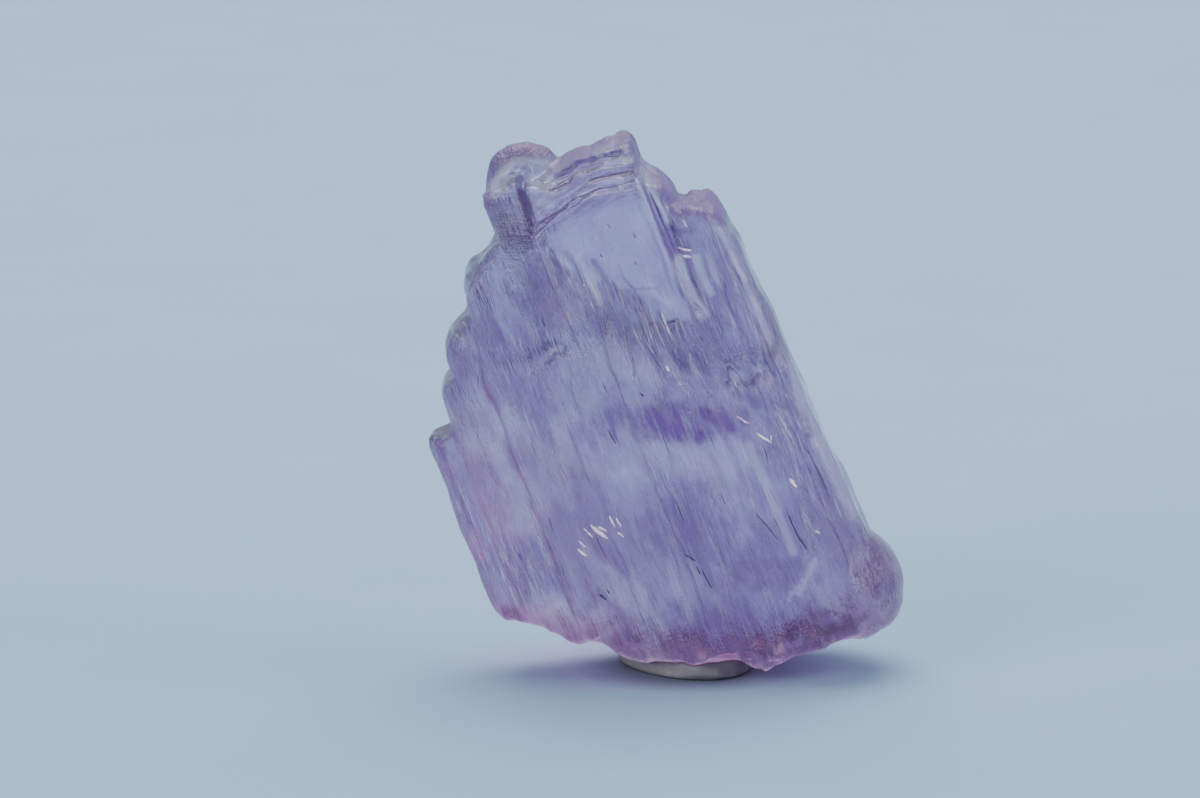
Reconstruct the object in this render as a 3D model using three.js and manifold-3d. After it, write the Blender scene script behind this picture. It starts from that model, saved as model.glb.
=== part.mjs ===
// A kunzite crystal, the lilac kind of spodumene, standing on a pressed lump of mounting putty.
// The crystal is one solid. It grew as a bundle of parallel columns, so its broad faces carry ribs
// that run along its length, its left side climbs in rounded steps, and its base is broken.
// All lengths are in millimetres. In the crystal's own frame x runs across the broad face, y runs
// from the front face to the back, and z runs along the columns.
import * as THREE from "three";
import { ConvexGeometry } from "three/addons/geometries/ConvexGeometry.js";
import { mergeVertices } from "three/addons/utils/BufferGeometryUtils.js";
import Module from "manifold-3d";

const wasm = await Module();
wasm.setup();

// The way the crystal stands.
const LEAN_DEG = 20.6; // the columns lean to the left of upright
const CENTRE_HEIGHT = 17.7; // the crystal frame's origin above the surface it stands on
const RIGHT_TAPER = 0.006; // the right side widens by this share for each millimetre down

// The broad faces bulge: how deep each is, where across it is deepest, and how much of the depth is
// lost one half width away from there.
const HALF_WIDTH = 13.6;
const FRONT_FACE = { depth: 5.5, deepest: 0.4, arch: 0.5 };
const BACK_FACE = { depth: 5.6, deepest: 3.2, arch: 0.55 };

// The ribs on the broad faces.
const RIB_FIRST_X = -13.6;
const RIB_PITCH = 1.3;
const RIB_COUNT = 16;
const RIB_WIDTH = 1.5;
const RIB_JITTER = 0.45; // how far a rib's depth departs from the bulge
const RIB_CORNER = 0.42;
const RIB_SHOULDER = 0.55;
const GOLDEN = 0.618034;

// Where the ribs end. Left of STEP_X their tops follow the steps of the left side, and right of it
// they hang below the clear face like icicles. The broken foot is level right of FOOT_X.
const STEP_X = -9;
const STEP_TOP = 11.4;
const STEP_SLOPE = 1.75;
const ICICLE_TOP = 4.6;
const ICICLE_SPREAD = 4.2;
const FOOT_X = -1.5;
const FOOT_Z = -17.4;
const FOOT_SLOPE = 0.6;
const FOOT_SPREAD = 1.1;

// The ends of a column: each is drawn in over its shoulder.
const SHOULDER_INSET = 0.75;
const SHOULDER_STEPS = 2;

// The steps in the slanted top of the front face: the lowest one, and how far each next one is
// narrower, further back and higher.
const LEDGE_COUNT = 5;
const FIRST_LEDGE = { left: -4.2, right: 3.6, front: -4.6, back: 3.0, foot: -10, top: 13.2 };
const LEDGE_NARROWING = 0.2;
const LEDGE_DEPTH = 0.85;
const LEDGE_RISE = 0.62;
const LEDGE_SLOPE = 0.3;
const LEDGE_CORNER = 0.5;
const LEDGE_SHOULDER = 0.3;

// The putty.
const PUTTY_X = 1;
const PUTTY_Y = 0.4;
const PUTTY_RADIUS = 4.1;
const PUTTY_STRETCH = 1.35; // it is longer one way than the other
const PUTTY_TURN_DEG = 32; // its long way runs from the front right to the back left
const PUTTY_HEIGHT = 2.6;
const PUTTY_SIDES = 28;
const SEAT_GAP = 0.3; // left between the putty and the crystal that is pressed into it
const PUTTY_FILM = 0.3; // the least thickness left under the crystal
const FOOT_REACH = 5; // how far up from the putty's surface the crystal's foot counts

// The crystal's large columns: x, y and z give each one's reach. corner is how far the corners of
// its section are cut, shoulder how far its ends are rounded, and rise and fall are the slopes of
// its top and of its foot from left to right.
const COLUMNS = [
  { x: [-15.5, -12.4], y: [-2.6, 1.2], z: [-10.2, 3.5], corner: 1.0, shoulder: 1.0, rise: 0.1, fall: -0.7 },
  { x: [-13.7, -10.9], y: [-3.2, 1.8], z: [-11.4, 6.9], corner: 1.1, shoulder: 1.1, rise: 0.4, fall: -0.7 },
  { x: [-12.4, -8.6], y: [-3.8, 2.5], z: [-12.9, 10.0], corner: 1.2, shoulder: 1.6, rise: 0.35, fall: -0.7 },
  { x: [-9.8, -5.9], y: [-4.4, 3.2], z: [-14.7, 13.4], corner: 1.4, shoulder: 1.5, rise: 0.4, fall: -0.6 },
  { x: [-6.5, -3.7], y: [-4.2, 1.8], z: [-12, 17.4], corner: 0.8, shoulder: 0.8, rise: 0.2, fall: 0 },
  { x: [-4.3, 0.4], y: [-3.6, 2.4], z: [-12, 16.9], corner: 0.9, shoulder: 0.7, rise: -0.1, fall: 0 },
  { x: [-0.6, 4.1], y: [-1.2, 4.2], z: [-12, 17.1], corner: 1.1, shoulder: 0.9, rise: 0.22, fall: 0 },
  { x: [2.2, 5.5], y: [-3.4, 4.4], z: [-12, 14.9], corner: 1.3, shoulder: 0.8, rise: -0.9, fall: 0 },
  { x: [4.3, 8.1], y: [-4.2, 4.5], z: [-16, 11.9], corner: 1.5, shoulder: 1.1, rise: -0.35, fall: 0 },
  { x: [6.2, 8.4], y: [-3.0, 3.0], z: [-14, 9.7], corner: 0.9, shoulder: 1.0, rise: -0.4, fall: 0 },
  { x: [-9.0, 4.8], y: [-4.8, 4.0], z: [-15.5, 6.2], corner: 2.4, shoulder: 1.2, rise: 0, fall: -0.3 },
  { x: [-7.5, 0.5], y: [-5.2, 4.4], z: [-16.3, -2.5], corner: 1.8, shoulder: 1.4, rise: 0.1, fall: -0.4 },
  { x: [-1.5, 6.8], y: [-5.3, 5.3], z: [-17.9, 0.5], corner: 1.9, shoulder: 1.3, rise: 0, fall: 0 },
];

// The rounded knob at the top left, and the lobe at the foot of the right side.
const LOBES = [
  { centre: [-3.85, 2.2, 15.7], radii: [2.8, 2.1, 3.25], rings: 10, sides: 16 },
  { centre: [6.1, -0.4, -15.3], radii: [3.3, 4.8, 3.8], rings: 10, sides: 16 },
];

const LEAST_DETAIL = 0.03; // slivers narrower than this, left where columns cross, are closed up
const UNEVENNESS = 0.012; // how far a corner may lie from where the ideal columns put it

// A number between 0 and 1 that differs from one rib to the next.
function scatter(index, seed) {
  return (index * GOLDEN + seed) % 1;
}

// The depth of a bulging broad face at a place across it.
function faceDepth(x, { depth, deepest, arch }) {
  const share = (x - deepest) / HALF_WIDTH;
  return depth * (1 - arch * share * share);
}

// A closed three.js geometry as a solid that can be joined and cut.
function solidOf(geometry) {
  const bare = geometry.clone();
  ["normal", "uv"].forEach((name) => bare.deleteAttribute(name));
  const merged = mergeVertices(bare, 1e-4);
  return new wasm.Manifold(
    new wasm.Mesh({
      numProp: 3,
      vertProperties: new Float32Array(merged.attributes.position.array),
      triVerts: new Uint32Array(merged.index.array),
    }),
  );
}

// The triangles of a solid as a three.js geometry.
function geometryOf(solid) {
  const mesh = solid.getMesh();
  const geometry = new THREE.BufferGeometry();
  geometry.setAttribute("position", new THREE.BufferAttribute(mesh.vertProperties, 3));
  geometry.setIndex(new THREE.BufferAttribute(mesh.triVerts, 1));
  geometry.computeVertexNormals();
  return geometry;
}

// The outer skin alone: small pockets closed in between the columns are left out.
function largestShell(solid) {
  return solid.decompose().reduce((largest, shell) => (shell.volume() > largest.volume() ? shell : largest));
}

// The corners of a section with its four corners cut, in order round it.
function cutRectangle([left, right], [front, back], corner) {
  return [
    [left + corner, front],
    [right - corner, front],
    [right, front + corner],
    [right, back - corner],
    [right - corner, back],
    [left + corner, back],
    [left, back - corner],
    [left, front + corner],
  ];
}

// A closed skin over a stack of rings that all have the same number of corners.
function loft(rings) {
  const sides = rings[0].length;
  const last = (rings.length - 1) * sides;
  const faces = [];
  for (let i = 1; i < sides - 1; i++) {
    faces.push(0, i + 1, i);
    faces.push(last, last + i, last + i + 1);
  }
  for (let ring = 0; ring < rings.length - 1; ring++) {
    for (let i = 0; i < sides; i++) {
      const a = ring * sides + i;
      const b = ring * sides + ((i + 1) % sides);
      faces.push(a, b, b + sides, a, b + sides, a + sides);
    }
  }
  const geometry = new THREE.BufferGeometry();
  geometry.setAttribute("position", new THREE.Float32BufferAttribute(rings.flat(2), 3));
  geometry.setIndex(faces);
  return geometry;
}

// The rings of a rounded shoulder, from the end of a column to where its sides begin.
function shoulderRings(shoulder) {
  return numbersUpTo(SHOULDER_STEPS + 1).map((step) => {
    const turn = (step / SHOULDER_STEPS) * (Math.PI / 2);
    return {
      fromEnd: shoulder * Math.sin(turn),
      inset: shoulder * SHOULDER_INSET * Math.cos(turn),
    };
  });
}

// One growth column: a prism with rounded shoulders and sloping ends.
function column({ x, y, z, corner, shoulder, rise, fall }) {
  const middle = (x[0] + x[1]) / 2;
  const ends = shoulderRings(shoulder);
  const foot = ends.map(({ fromEnd, inset }) => ({ z: z[0] + fromEnd, inset, slope: fall }));
  const head = ends.map(({ fromEnd, inset }) => ({ z: z[1] - fromEnd, inset, slope: rise })).reverse();
  const rings = [...foot, ...head].map((level) => {
    const across = [x[0] + level.inset, x[1] - level.inset];
    const through = [y[0] + level.inset, y[1] - level.inset];
    return cutRectangle(across, through, corner).map(([px, py]) => [
      px,
      py,
      level.z + (px - middle) * level.slope,
    ]);
  });
  return solidOf(loft(rings));
}

// The height at which a rib ends.
function ribTop(x, index) {
  return x < STEP_X ? STEP_TOP + (x - STEP_X) * STEP_SLOPE : ICICLE_TOP + ICICLE_SPREAD * scatter(index, 0.37);
}

// The height of the broken foot, which slopes down from the left.
function footHeight(x) {
  return FOOT_Z - Math.min(x - FOOT_X, 0) * FOOT_SLOPE;
}

// A rib of the broad faces, from the front face right through to the back.
function rib(index) {
  const x = RIB_FIRST_X + index * RIB_PITCH;
  const front = -faceDepth(x, FRONT_FACE) - RIB_JITTER * scatter(index, 0.11);
  const back = faceDepth(x, BACK_FACE) + RIB_JITTER * scatter(index, 0.73);
  const width = RIB_WIDTH * (0.8 + 0.4 * scatter(index, 0.53));
  return column({
    x: [x - width / 2, x + width / 2],
    y: [front, back],
    z: [footHeight(x) + FOOT_SPREAD * scatter(index, 0.29), ribTop(x, index)],
    corner: RIB_CORNER,
    shoulder: RIB_SHOULDER,
    rise: 0,
    fall: 0,
  });
}

// A step of the slanted top: each one stands further back than the last, and higher.
function ledge(index) {
  const { left, right, front, back, foot, top } = FIRST_LEDGE;
  return column({
    x: [left + LEDGE_NARROWING * index, right],
    y: [front + LEDGE_DEPTH * index, back],
    z: [foot, top + LEDGE_RISE * index],
    corner: LEDGE_CORNER,
    shoulder: LEDGE_SHOULDER,
    rise: LEDGE_SLOPE,
    fall: 0,
  });
}

// A rounded bulge.
function lobe({ centre, radii, rings, sides }) {
  const geometry = new THREE.SphereGeometry(1, sides, rings);
  geometry.scale(...radii);
  geometry.translate(...centre);
  return solidOf(geometry);
}

// The right side widens towards the foot.
function taperRightSide(geometry) {
  const position = geometry.attributes.position;
  for (let i = 0; i < position.count; i++) {
    const x = position.getX(i);
    if (x > 0) position.setX(i, x * (1 - RIGHT_TAPER * position.getZ(i)));
  }
  return geometry;
}

// Nothing in a natural crystal lies exactly in line: every corner is moved a very little.
function unsettle(geometry) {
  const position = geometry.attributes.position;
  for (let i = 0; i < position.count; i++) {
    const [dx, dy, dz] = [0.19, 0.47, 0.83].map((seed) => UNEVENNESS * (2 * scatter(i, seed) - 1));
    position.setXYZ(i, position.getX(i) + dx, position.getY(i) + dy, position.getZ(i) + dz);
  }
  return geometry;
}

function numbersUpTo(count) {
  return Array.from({ length: count }, (_, index) => index);
}

function crystalGeometry() {
  const pieces = [
    ...COLUMNS.map(column),
    ...numbersUpTo(RIB_COUNT).map(rib),
    ...numbersUpTo(LEDGE_COUNT).map(ledge),
    ...LOBES.map(lobe),
  ];
  const joined = largestShell(wasm.Manifold.union(pieces).setTolerance(LEAST_DETAIL));
  const geometry = taperRightSide(unsettle(geometryOf(joined)));
  geometry.rotateY(THREE.MathUtils.degToRad(-LEAN_DEG));
  geometry.translate(0, 0, CENTRE_HEIGHT);
  return geometryOf(largestShell(solidOf(geometry)));
}

// The smallest bulging shape that holds the crystal's foot.
function footHull(crystal) {
  const position = crystal.attributes.position;
  const points = numbersUpTo(position.count).map((i) => new THREE.Vector3().fromBufferAttribute(position, i));
  const foot = points.filter((point) => point.z < FOOT_REACH);
  return new ConvexGeometry(foot);
}

// A flattened lump with a flat underside, pressed up around the foot of the crystal.
function puttyGeometry(crystal) {
  const reach = PUTTY_RADIUS;
  const profile = [
    new THREE.Vector2(0, 0),
    new THREE.Vector2(reach * 0.94, 0),
    new THREE.Vector2(reach * 0.99, PUTTY_HEIGHT * 0.12),
    new THREE.Vector2(reach, PUTTY_HEIGHT * 0.32),
    new THREE.Vector2(reach * 0.96, PUTTY_HEIGHT * 0.6),
    new THREE.Vector2(reach * 0.8, PUTTY_HEIGHT * 0.88),
    new THREE.Vector2(reach * 0.5, PUTTY_HEIGHT),
    new THREE.Vector2(0, PUTTY_HEIGHT),
  ];
  const lump = new THREE.LatheGeometry(profile, PUTTY_SIDES);
  lump.rotateX(Math.PI / 2);
  lump.scale(1, PUTTY_STRETCH, 1);
  lump.rotateZ(THREE.MathUtils.degToRad(PUTTY_TURN_DEG));
  lump.translate(PUTTY_X, PUTTY_Y, 0);
  const imprint = solidOf(footHull(crystal)).translate([0, 0, -SEAT_GAP]);
  const film = new THREE.BoxGeometry(4 * reach, 4 * reach, 2 * PUTTY_FILM);
  film.translate(PUTTY_X, PUTTY_Y, 0);
  return geometryOf(largestShell(solidOf(lump).subtract(imprint.subtract(solidOf(film)))));
}

function named(name, geometry, material) {
  const mesh = new THREE.Mesh(geometry, material);
  mesh.name = name;
  return mesh;
}

const kunzite = new THREE.MeshStandardMaterial({
  color: 0xb9a6d6,
  roughness: 0.12,
  metalness: 0,
  transparent: true,
  opacity: 0.6,
});
const putty = new THREE.MeshStandardMaterial({ color: 0x8f8a86, roughness: 0.7, metalness: 0 });

const crystalShape = crystalGeometry();
const group = new THREE.Group();
group.add(named("kunzite_crystal", crystalShape, kunzite));
group.add(named("mounting_putty", puttyGeometry(crystalShape), putty));

// The origin is on the surface that the putty stands on, under the middle of the whole.
const whole = new THREE.Box3().setFromObject(group);
const middle = whole.getCenter(new THREE.Vector3());
group.position.set(-middle.x, -middle.y, -whole.min.z);

export default group;
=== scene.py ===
"""A kunzite crystal on a dab of mounting putty, photographed against a pale sheet.

Shapes are in millimetres. In the crystal's own frame u runs across the broad face, v from the front
face to the back and w along the growth columns. The skins are drawn from distance fields, which are
negative inside a shape, by surface nets.
"""

import math

import bpy
import numpy as np
from mathutils import Matrix, Vector


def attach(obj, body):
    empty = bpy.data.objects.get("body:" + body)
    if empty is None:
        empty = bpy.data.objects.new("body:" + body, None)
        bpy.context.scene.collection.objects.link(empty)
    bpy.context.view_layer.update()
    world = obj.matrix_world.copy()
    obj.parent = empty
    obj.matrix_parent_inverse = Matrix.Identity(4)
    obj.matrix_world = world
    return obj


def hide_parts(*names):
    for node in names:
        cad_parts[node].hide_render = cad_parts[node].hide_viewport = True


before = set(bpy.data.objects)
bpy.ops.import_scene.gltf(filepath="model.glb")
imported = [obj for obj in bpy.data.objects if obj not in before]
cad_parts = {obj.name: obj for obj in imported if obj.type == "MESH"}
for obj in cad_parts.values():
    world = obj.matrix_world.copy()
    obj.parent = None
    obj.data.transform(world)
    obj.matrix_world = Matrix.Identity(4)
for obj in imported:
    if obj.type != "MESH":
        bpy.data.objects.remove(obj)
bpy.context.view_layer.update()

MM = 0.001

# The way the crystal stands.
LEAN_DEG = 20.6  # the columns lean to the left of upright
CRYSTAL_ORIGIN = (0.01, -0.022, 17.7)
RIGHT_TAPER = 0.006  # the right side widens by this share for each millimetre down

# The broad faces bulge: how deep each is, where across it is deepest, and how much of the depth is
# lost one half width away from there.
HALF_WIDTH = 13.6
FRONT_FACE = (5.5, 0.4, 0.5)
BACK_FACE = (5.6, 3.2, 0.55)

# The ribs on the broad faces.
RIB_FIRST_U = -13.6
RIB_PITCH = 1.3
RIB_COUNT = 16
RIB_WIDTH = 1.5
RIB_JITTER = 0.45  # how far a rib can stand out of the bulging face
RIB_CORNER = 0.42  # rounding of the section
RIB_SHOULDER = 0.55  # rounding of the ends
GOLDEN = 0.618034  # steps of this share of a turn spread out evenly

# The steps in the slanted top of the front face.
LEDGE_COUNT = 8
LEDGE_FIRST = 14.6
LEDGE_RISE = 0.3
LEDGE_DEPTH = 0.44
LEDGE_SLOPE = 0.08
LEDGE_CURVE = 0.7  # how far a ledge bows up in its middle
LEDGE_LEFT = -4.2
LEDGE_RIGHT = 3.9
LEDGE_BLEND = 0.08

# The large columns: reach along u, v and w, rounding of the section's corners and of the ends, and
# the slopes of the top and of the foot from left to right.
COLUMNS = [
    ((-15.5, -12.4), (-2.6, 1.2), (-10.2, 3.5), 1, 1, 0.1, -0.7),
    ((-13.7, -10.9), (-3.2, 1.8), (-11.4, 6.9), 1.1, 1.1, 0.4, -0.7),
    ((-12.4, -8.6), (-3.8, 2.5), (-12.9, 10), 1.2, 1.6, 0.35, -0.7),
    ((-9.8, -5.9), (-4.4, 3.2), (-14.7, 13.4), 1.4, 1.5, 0.4, -0.6),
    ((-6.5, -3.7), (-4.2, 1.8), (-12, 17.4), 0.8, 0.8, 0.2, 0),
    ((-4.3, 0.4), (-3.6, 4), (-12, 16.6), 1.4, 0.7, -0.1, 0),
    ((-0.6, 4.1), (-1.2, 4.2), (-12, 17), 1.1, 1.1, 0.15, 0),
    ((2.2, 5.5), (-3.4, 4.4), (-12, 14.9), 1.3, 0.8, -0.9, 0),
    ((4.3, 8.1), (-4.2, 4.5), (-16, 11.9), 1.5, 1.1, -0.35, 0),
    ((6.2, 8.4), (-3, 3), (-14, 9.7), 0.9, 1, -0.4, 0),
    ((-9, 4.8), (-4.8, 4), (-15.5, 6.2), 2.4, 1.2, 0, -0.3),
    ((-7.5, 0.5), (-5.2, 4.4), (-16.3, -2.5), 1.8, 1.4, 0.1, -0.4),
    ((-1.5, 6.8), (-5.3, 5.3), (-17.9, 0.5), 1.9, 1.3, 0, 0),
]
# The rounded knob at the top left and the lobe at the foot of the right side: centre, radii.
LOBES = [
    ((-3.85, 2.2, 15.7), (2.8, 2.1, 3.25)),
    ((6.1, -0.4, -15.3), (3.3, 4.8, 3.8)),
]

# The grid that the crystal's skin is drawn on.
GRID_U = (-16.4, 10.4, 0.14)
GRID_V = (-6.9, 6.9, 0.17)
GRID_W_LOWER = (-19.7, 7.5, 0.26)
GRID_W_UPPER = (7.5, 19.5, 0.14)  # finer where the ledges are
JOIN_BLEND = 0.34  # how softly one column runs into the next
RIB_POINT = 4.5  # a rib thins out to a point over this length

# The relief of the surface.
STRIA_FINE = 0.045
STRIA_COARSE = 0.06
ETCH_DEPTH = 0.06
ETCH_PITCH = 0.5
LUMP_HEIGHT = 0.1
WARP_ACROSS = 0.12  # how far the columns' sides wander
WARP_ALONG = 0.42  # how far their ends do

# Shallow shell-shaped scars on the lower front face.
SCAR_COUNT = 46
SCARS_CORNER = (-9.5, -15.0)
SCARS_SPREAD = (16, 19)
SCAR_DEPTH = 0.13

# Smooth hollows and grooves in the front face: centre (u, w), radii, depth.
HOLLOWS = [
    ((4.42, 7.9), (0.42, 2.1), 0.16), ((6.15, 7.6), (0.36, 1.7), 0.14),
    ((4.5, 12.9), (0.34, 1.5), 0.15), ((4, 10.6), (0.12, 6), 0.3),
    ((3.55, 10.4), (0.09, 5), 0.16), ((-3.9, 15.8), (0.3, 2.3), 0.5),
    ((7.35, 5), (0.16, 7.5), 0.18),
]

# The clear face: its sides, its lower edge, which drops to the right, and its bowed upper edge.
WINDOW_U = (-4.6, 3.7)
WINDOW_TOP = 14.7
BOW_MIDDLE = 0.5
BOW = 0.04
LEFT_SLOPE = 0.376  # left of the clear face the etched lines lie level
ETCHED_LEFT = -4.0
LINE_PITCH = 0.15
WINDOW_FLOOR = 8.3
WINDOW_DROP = 1.17
WINDOW_CLEAR = 0.8  # how pale its tint is

# The tints of the crystal's skin, each laid over the ones before it.
CLEAR_TINT = (0.85, 0.86, 0.90, 1)
CLOUDED_TINT = (0.56, 0.40, 0.62, 1)
SHADED_TINT = (0.50, 0.31, 0.56, 1)
STREAK_TINT = (0.38, 0.20, 0.47, 1)
HAIR_TINT = (0.92, 0.98, 1.0, 1)
PALE_TINT = (0.92, 1.0, 1.0, 1)
SPECK_TINT = (0.50, 0.42, 0.62, 1)
SMOKE_TINT = (0.30, 0.20, 0.34, 1)
VIOLET_TINT = (0.23, 0.04, 0.28, 1)
LINE_TINTS = ((1.0, 0.97, 1.0, 1), (0.40, 0.25, 0.58, 1))
# Stain and painted shade on the top outline, where the skin is also rougher and less clear.
TOP_RIM_STAIN_AND_SHADE_TINT = (0.19, 0.09, 0.38, 1)

PAINTED_GLOW_COLOUR = (0.62, 0.76, 0.95, 1)  # painted glow in this colour under the pale places, standing in for light that healed cracks send back
PAINTED_GLOW_STRENGTH = 0.13
KUNZITE_IOR = 1.66
INNER_TINT = (0.74, 0.30, 0.71, 1)  # the light that passes through takes on this tint
INNER_DENSITY = 72.0

# Zones of the surface: centre (u, w), radii, slope of the zone to the right, strength.
LEVEL = -0.376  # the slope of a zone that lies level
VIOLET_ZONES = [
    ((0.6, -0.3), (5.6, 1.3), -0.42, 0.65), ((6.3, 8.5), (1.6, 3), 0, 0.3),
    ((2.8, -12.2), (2, 1.2), LEVEL, 0.4), ((-0.5, -15.6), (9, 3), LEVEL, 0.75),
    ((8.6, -14), (1.5, 3.5), 0, 0.6), ((-9.8, -7), (3, 3), LEVEL, 0.35),
    ((-5.6, 11), (1.8, 3), 0, 0.5), ((-9, 9), (1.6, 1.6), LEVEL, 0.5),
    ((-11.5, 5.5), (2, 3), 0, 0.45), ((-8, 6), (3, 4.5), LEVEL, 0.3),
    ((-9, -1), (4.5, 4.5), LEVEL, 0.28), ((-1.5, -8), (4.5, 3.4), LEVEL, 0.6),
    ((1.5, 3.6), (2.2, 0.8), -0.6, 0.35),
]
SMOKE_ZONES = [
    ((1.4, 5.9), (1.9, 1.5), -0.7, 0.6), ((-1.6, 7.6), (1.4, 1.4), -0.7, 0.5),
    ((-3.4, 9.2), (1.2, 1.6), -0.6, 0.3),
]
PALE_ZONES = [
    ((1.4, -3.4), (3.4, 1.6), LEVEL, 0.5), ((-5, -1.5), (3, 2), LEVEL, 0.3),
    ((8.3, -5), (0.6, 7), 0, 0.8), ((6.15, 7.6), (0.42, 1.8), 0, 0.8),
]

# Stains drawn as strokes: path (u, w), width, strength.
LEAST_STROKE = 0.22  # no stroke is drawn narrower
VIOLET_STROKES = [
    (((-7, 14.8), (-6.5, 16.5), (-5.8, 18.1), (-4.9, 18.7), (-3.9, 18.8), (-2.8, 18.6),
      (-1.8, 17.8), (-1.3, 16.9)), 0.62, 0.9),
    (((-5.1, 17.4), (-4.5, 17.5), (-4, 17.7), (-3.4, 17.6), (-3.2, 17), (-2.5, 16.9),
      (-1.7, 16.9), (-1.1, 16.8), (-0.6, 16.8)), 0.37, 0.8),
    (((-3.6, 17.1), (-3.7, 16.1), (-4.2, 14.6), (-4.5, 13.4)), 0.62, 0.75),
    (((-1.8, 16.6), (-0.6, 16.8), (0.1, 17.2), (1.2, 17.2), (2.4, 17.2), (3.4, 17.5), (4, 16.8),
      (4.1, 16), (4.3, 14.5)), 0.62, 0.9),
    (((-3.2, 14.6), (-1.7, 15.3), (0.1, 15.7), (1.8, 15.8), (3.7, 15.4)), 0.2, 0.8),
    (((-3.1, 14.1), (-1.7, 14.4), (0, 14.9), (1.8, 15), (3.3, 14.8)), 0.17, 0.6),
    (((-1.8, 16), (0.2, 16.1), (2.5, 16.1), (3.8, 15.6)), 0.17, 0.6),
    (((0.3, 16.2), (1.9, 16.6), (3.3, 16.7)), 0.15, 0.6),
    (((3.9, 14.8), (3.8, 13.3), (3.7, 10.8), (3.7, 8.9), (3.6, 7)), 0.25, 0.8),
    (((3.9, 13.6), (4, 12), (4, 10.4)), 0.75, 0.6),
    (((3.3, 14.8), (3.2, 13), (3.3, 11.1), (3.2, 9.3), (3.1, 7.5)), 0.11, 0.6),
    (((4.3, 14.5), (5, 13.7), (5.3, 13), (5.3, 12.4)), 0.45, 0.9),
    (((5.4, 12.8), (5.9, 12), (6.9, 11.7), (7.5, 10.8), (8.1, 10.2)), 0.68, 0.95),
    (((5.8, 12), (6.6, 11.7)), 0.75, 0.7), (((6.7, 10.6), (6.7, 9), (6.8, 7.1)), 0.87, 0.35),
    (((4.4, 11.1), (5.9, 10.7)), 0.35, 0.6), (((4.7, 9.8), (5.4, 9.8)), 0.12, 0.8),
    (((4.8, 9.2), (4.6, 7.9), (4.5, 6.2)), 0.17, 0.7),
    (((3.9, 9.4), (3.6, 8.6), (3.6, 6.9), (4, 5.8)), 0.11, 0.6),
    (((-2.5, 12.3), (-2.3, 10.8), (-2.3, 9.4)), 0.3, 0.7),
    (((-1.1, 11.2), (-0.8, 9.9), (-0.3, 8.7)), 0.37, 0.7), (((-3.6, 12.3), (-3, 11)), 0.55, 0.6),
    (((0.3, 10.3), (0.3, 9.3), (0.7, 8.5), (2.1, 8.1), (2.3, 7.5)), 0.11, 0.7),
    (((-1.2, 0.6), (-0.8, -0.2), (-0.3, -0.9)), 1.59, 1),
    (((0.7, 0.2), (0.9, -0.6), (1.1, -1.6)), 1.44, 1),
    (((2.1, -0.3), (2.7, -1.1), (3.4, -1.9)), 1.03, 1), (((-3.8, 1.6), (-1.7, 0.7)), 0.92, 0.6),
    (((-3.6, 1.7), (-3.9, -0.1)), 0.31, 0.8),
    (((-2, -0.5), (-0.1, -1.5), (1.2, -1.7)), 0.41, 0.7), (((4.5, 0.1), (5.4, -1.2)), 0.77, 0.65),
    (((5.6, -1), (6.8, -1.9)), 0.87, 0.4),
    (((1.2, -10.8), (3.9, -11.9), (3.6, -12.5), (1.2, -12.2)), 0.87, 0.5),
    (((-7.5, -6.7), (-6.1, -8.1)), 1.54, 0.5), (((-14.8, 3.2), (-14.9, 2.4)), 0.87, 0.7),
    (((-11.3, 9.4), (-12.1, 8)), 1.03, 0.4),
    (((-8.6, 13.1), (-9.2, 11.9), (-7.2, 13.7)), 0.87, 0.4),
]
SMOKE_STROKES = [
    (((-0.5, 9.3), (-0.8, 8.1)), 0.45, 0.7), (((-2.5, 8.5), (-2.5, 7.5)), 0.4, 0.6),
    (((0.2, 8.1), (1.5, 7.1)), 1.12, 0.6), (((-0.2, 6.7), (1, 5.8)), 0.75, 0.5),
    (((-3.6, 11.8), (-3.5, 10.4)), 0.75, 0.5), (((-7.2, 11.7), (-7, 11.1)), 0.56, 0.6),
    (((-6.2, 10.5), (-6.2, 9.9)), 0.5, 0.5), (((-5.2, 11.1), (-5.2, 10.7)), 0.37, 0.5),
    (((-8.6, -9.4), (-8.1, -10.4)), 0.92, 0.9), (((-9.2, -9.8), (-6.7, -11.8)), 1.03, 0.45),
    (((-1.9, -8.7), (-1.5, -9.5)), 0.41, 0.7), (((-1.3, -10), (-1.3, -11.7)), 0.46, 0.7),
    (((-10.4, -10.1), (-10.1, -10.6)), 0.51, 0.5), (((2, 2.7), (2.5, 2.2)), 0.72, 0.5),
    (((-2.6, 3.4), (-2, 3.1)), 0.46, 0.5), (((2.1, -6.9), (2.2, -7.2)), 0.62, 0.4),
]
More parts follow.
